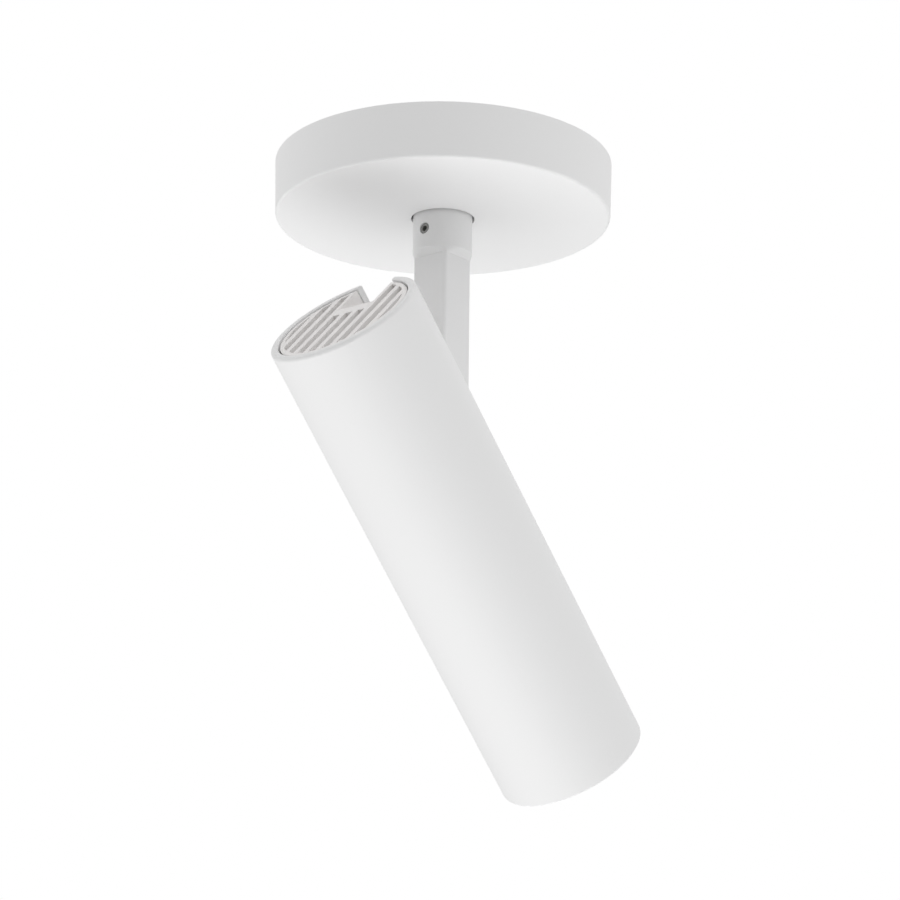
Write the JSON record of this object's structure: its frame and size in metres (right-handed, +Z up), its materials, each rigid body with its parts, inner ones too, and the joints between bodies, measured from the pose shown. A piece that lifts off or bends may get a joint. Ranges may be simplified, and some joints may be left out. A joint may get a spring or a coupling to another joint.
{
  "type": "ceiling spotlight",
  "caption": "Cylindrical spotlight head with a finned, slotted rear that tilts on a stem and pans under a round ceiling canopy.",
  "frame": {"origin": "centre of the canopy's ceiling face", "axes": "+Z up into the ceiling; the head tilts in the XZ plane, its rear towards -X and its light towards +X and down; +Y along the tilt pin"},
  "size_m": [0.1693, 0.12, 0.2218],
  "materials": {
    "white_paint": "smooth matte white powder coat",
    "white_paint_fins": "matte white powder coat on a die casting",
    "black_steel": "black oxide",
    "zinc_steel": "zinc plated",
    "spring_steel": "hardened, bright",
    "brass": "turned, bright",
    "white_nylon": "plain moulded",
    "clear_nylon": "milky moulded",
    "white_plastic": "fine moulded texture",
    "black_rubber": "matte",
    "board_aluminium": "white masked board",
    "phosphor": "silicone over the chips",
    "bright_aluminium": "spun and anodised, satin",
    "clear_glass": "polished",
    "black_plastic": "matte, stepped against glare",
    "black_ring": "matte black anodised"
  },
  "bodies": {
    "ceiling_mount": {"canopy_cover": "white_paint", "mounting_plate": "zinc_steel", "cover_clips": "spring_steel", "clip_rivets": "zinc_steel", "swivel_bracket": "zinc_steel", "bracket_screws": "zinc_steel", "spigot": "brass", "spigot_lock_washer": "spring_steel", "spigot_nut": "zinc_steel", "swivel_washer": "white_nylon", "friction_ring": "black_rubber", "driver_housing": "white_plastic", "driver_lid": "white_plastic", "driver_screws": "zinc_steel", "terminal_block": "clear_nylon", "terminal_screws": "brass", "earth_terminal": "brass", "cable_grommet": "black_rubber"},
    "stem": {"stem": "white_paint", "stem_grub_screw": "black_steel"},
    "head": {"head_tube": "white_paint", "heat_sink": "white_paint_fins", "pivot_bolt": "zinc_steel", "pivot_nut": "zinc_steel", "disc_spring": "spring_steel", "friction_washers": "white_nylon", "led_board": "board_aluminium", "led_emitter": "phosphor", "led_holder": "white_plastic", "holder_screws": "zinc_steel", "reflector": "bright_aluminium", "lens_gasket": "black_rubber", "lens_glass": "clear_glass", "front_baffle": "black_plastic", "retaining_ring": "black_ring"}
  },
  "joints": [
    {"name": "stem_pan", "type": "hinge", "parent": "ceiling_mount", "child": "stem", "pos_m": [0, 0, -0.0264], "axis": [0, 0, 1], "range_deg": [-162, 162]},
    {"name": "head_tilt", "type": "hinge", "parent": "stem", "child": "head", "pos_m": [0, 0, -0.1012], "axis": [0, -1, 0], "range_deg": [-45, 45]}
  ]
}
